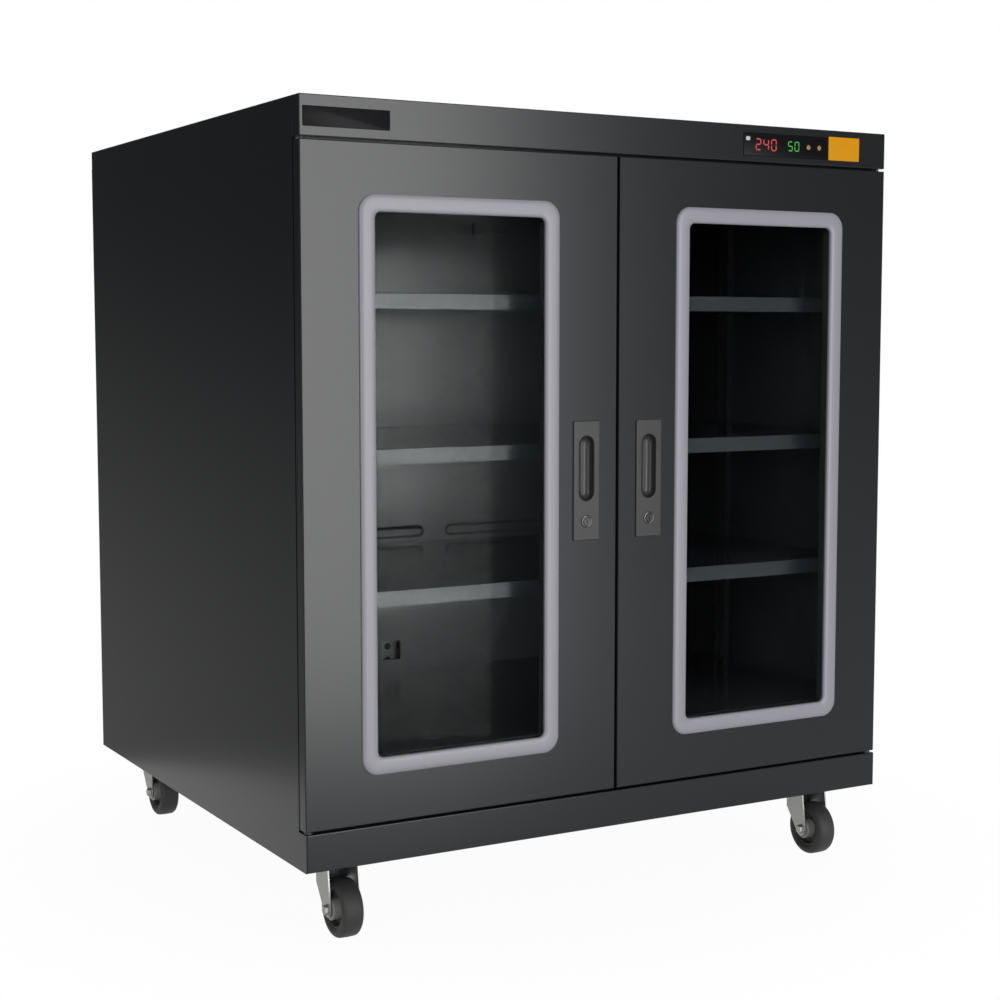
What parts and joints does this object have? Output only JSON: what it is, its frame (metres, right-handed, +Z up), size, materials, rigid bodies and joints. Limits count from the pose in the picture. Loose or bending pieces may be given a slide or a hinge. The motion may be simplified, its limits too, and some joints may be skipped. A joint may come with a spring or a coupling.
{
  "type": "electronic dry cabinet",
  "caption": "Free-standing steel dry cabinet with two glazed lockable doors, adjustable shelves, a header display and swivel castors.",
  "frame": {"origin": "on the floor under the middle of the body", "axes": "+Z up, doors face -Y, +X to the right of someone who faces the doors"},
  "size_m": [1.2, 1.09, 1.39],
  "materials": {
    "steel": "fine textured charcoal powder coat",
    "inner_steel": "smooth charcoal paint, satin",
    "shelf_steel": "smooth charcoal paint, satin",
    "trim": "pale lavender grey moulding, satin",
    "glass": "clear tempered glass",
    "gasket": "soft black seal",
    "handle_metal": "dark satin metal",
    "bright_metal": "bright plated metal",
    "zinc": "zinc-plated steel",
    "black_gloss": "gloss black panel",
    "orange_plate": "orange printed plate",
    "gold_plastic": "gold key cap",
    "white_plastic": "off-white moulding",
    "black_plastic": "black moulding",
    "board": "green circuit board",
    "tyre": "dark grey rubber tread"
  },
  "bodies": {
    "cabinet": {"plinth": "steel", "left_side_panel": "steel", "right_side_panel": "steel", "rear_panel": "steel", "top_cover": "steel", "back_wall": "inner_steel", "floor_panel": "inner_steel", "ceiling_panel": "inner_steel", "door_frame": "inner_steel", "hinge_pins": "zinc", "shelf_supports": "zinc", "lower_shelf": "shelf_steel", "middle_shelf": "shelf_steel", "upper_shelf": "shelf_steel", "sensor": "bright_metal", "dryer_case": "white_plastic", "desiccant_cartridge": "white_plastic", "power_inlet": "black_plastic", "inlet_blades": "bright_metal", "display_panel": "black_gloss", "control_board": "board", "indicator_plate": "orange_plate", "badge_plate": "black_gloss", "rear_screws": "zinc", "castor_plates": "zinc"},
    "left_door": {"left_door_shell": "steel", "left_door_liner": "inner_steel", "left_window_trim": "trim", "left_door_glass": "glass", "left_door_gasket": "gasket", "left_door_bushes": "bright_metal", "left_handle": "handle_metal", "left_lock_housing": "bright_metal"},
    "left_lock": {"left_lock_barrel": "bright_metal"},
    "right_door": {"right_door_shell": "steel", "right_door_liner": "inner_steel", "right_window_trim": "trim", "right_door_glass": "glass", "right_door_gasket": "gasket", "right_door_bushes": "bright_metal", "right_handle": "handle_metal", "right_lock_housing": "bright_metal"},
    "right_lock": {"right_lock_barrel": "bright_metal"},
    "front_left_castor": {"front_left_fork": "zinc"},
    "front_left_wheel": {"front_left_hub": "black_plastic", "front_left_tyre": "tyre"},
    "front_right_castor": {"front_right_fork": "zinc"},
    "front_right_wheel": {"front_right_hub": "black_plastic", "front_right_tyre": "tyre"},
    "rear_left_castor": {"rear_left_fork": "zinc"},
    "rear_left_wheel": {"rear_left_hub": "black_plastic", "rear_left_tyre": "tyre"},
    "rear_right_castor": {"rear_right_fork": "zinc"},
    "rear_right_wheel": {"rear_right_hub": "black_plastic", "rear_right_tyre": "tyre"},
    "left_key": {"left_key": "gold_plastic"},
    "right_key": {"right_key": "gold_plastic"},
    "rocker": {"rocker_switch": "black_plastic"},
    "inner_shutter": {"inner_shutter": "bright_metal"},
    "outer_shutter": {"outer_shutter": "bright_metal"}
  },
  "joints": [
    {"name": "left_door_hinge", "type": "hinge", "parent": "cabinet", "child": "left_door", "pos_m": [-0.591, -0.528, 0.763], "axis": [0, 0, -1], "range_deg": [0, 120]},
    {"name": "left_lock_turn", "type": "hinge", "parent": "left_door", "child": "left_lock", "pos_m": [-0.06525, -0.51, 0.6885], "axis": [0, -1, 0], "range_deg": [0, 90]},
    {"name": "right_door_hinge", "type": "hinge", "parent": "cabinet", "child": "right_door", "pos_m": [0.591, -0.528, 0.763], "axis": [0, 0, 1], "range_deg": [0, 120]},
    {"name": "right_lock_turn", "type": "hinge", "parent": "right_door", "child": "right_lock", "pos_m": [0.06525, -0.51, 0.6885], "axis": [0, 1, 0], "range_deg": [0, 90]},
    {"name": "front_left_swivel", "type": "hinge", "parent": "cabinet", "child": "front_left_castor", "pos_m": [-0.5055, -0.453, 0.12], "axis": [0, 0, 1], "continuous": true},
    {"name": "front_left_roll", "type": "hinge", "parent": "front_left_castor", "child": "front_left_wheel", "pos_m": [-0.5055, -0.4735, 0.05], "axis": [1, 0, 0], "continuous": true},
    {"name": "front_right_swivel", "type": "hinge", "parent": "cabinet", "child": "front_right_castor", "pos_m": [0.5055, -0.453, 0.12], "axis": [0, 0, 1], "continuous": true},
    {"name": "front_right_roll", "type": "hinge", "parent": "front_right_castor", "child": "front_right_wheel", "pos_m": [0.5055, -0.4735, 0.05], "axis": [1, 0, 0], "continuous": true},
    {"name": "rear_left_swivel", "type": "hinge", "parent": "cabinet", "child": "rear_left_castor", "pos_m": [-0.5055, 0.453, 0.12], "axis": [0, 0, 1], "continuous": true},
    {"name": "rear_left_roll", "type": "hinge", "parent": "rear_left_castor", "child": "rear_left_wheel", "pos_m": [-0.5055, 0.4325, 0.05], "axis": [1, 0, 0], "continuous": true},
    {"name": "rear_right_swivel", "type": "hinge", "parent": "cabinet", "child": "rear_right_castor", "pos_m": [0.5055, 0.453, 0.12], "axis": [0, 0, 1], "continuous": true},
    {"name": "rear_right_roll", "type": "hinge", "parent": "rear_right_castor", "child": "rear_right_wheel", "pos_m": [0.5055, 0.4325, 0.05], "axis": [1, 0, 0], "continuous": true},
    {"name": "left_key_press", "type": "slide", "parent": "cabinet", "child": "left_key", "axis": [0, 1, 0], "range_m": [0, 0.001], "stiffness_N_per_m": 400},
    {"name": "right_key_press", "type": "slide", "parent": "cabinet", "child": "right_key", "axis": [0, 1, 0], "range_m": [0, 0.001], "stiffness_N_per_m": 400},
    {"name": "rocker_tip", "type": "hinge", "parent": "cabinet", "child": "rocker", "pos_m": [0.449, 0.539, 0.248], "axis": [-1, 0, 0], "range_deg": [0, 14]},
    {"name": "inner_shutter_slide", "type": "slide", "parent": "cabinet", "child": "inner_shutter", "axis": [0, 0, 1], "range_m": [0, 0.045]},
    {"name": "outer_shutter_slide", "type": "slide", "parent": "cabinet", "child": "outer_shutter", "axis": [0, 0, 1], "range_m": [0, 0.045]}
  ],
  "couplings": [
    {"joint": "outer_shutter_slide", "follows": "inner_shutter_slide", "ratio": 1}
  ]
}
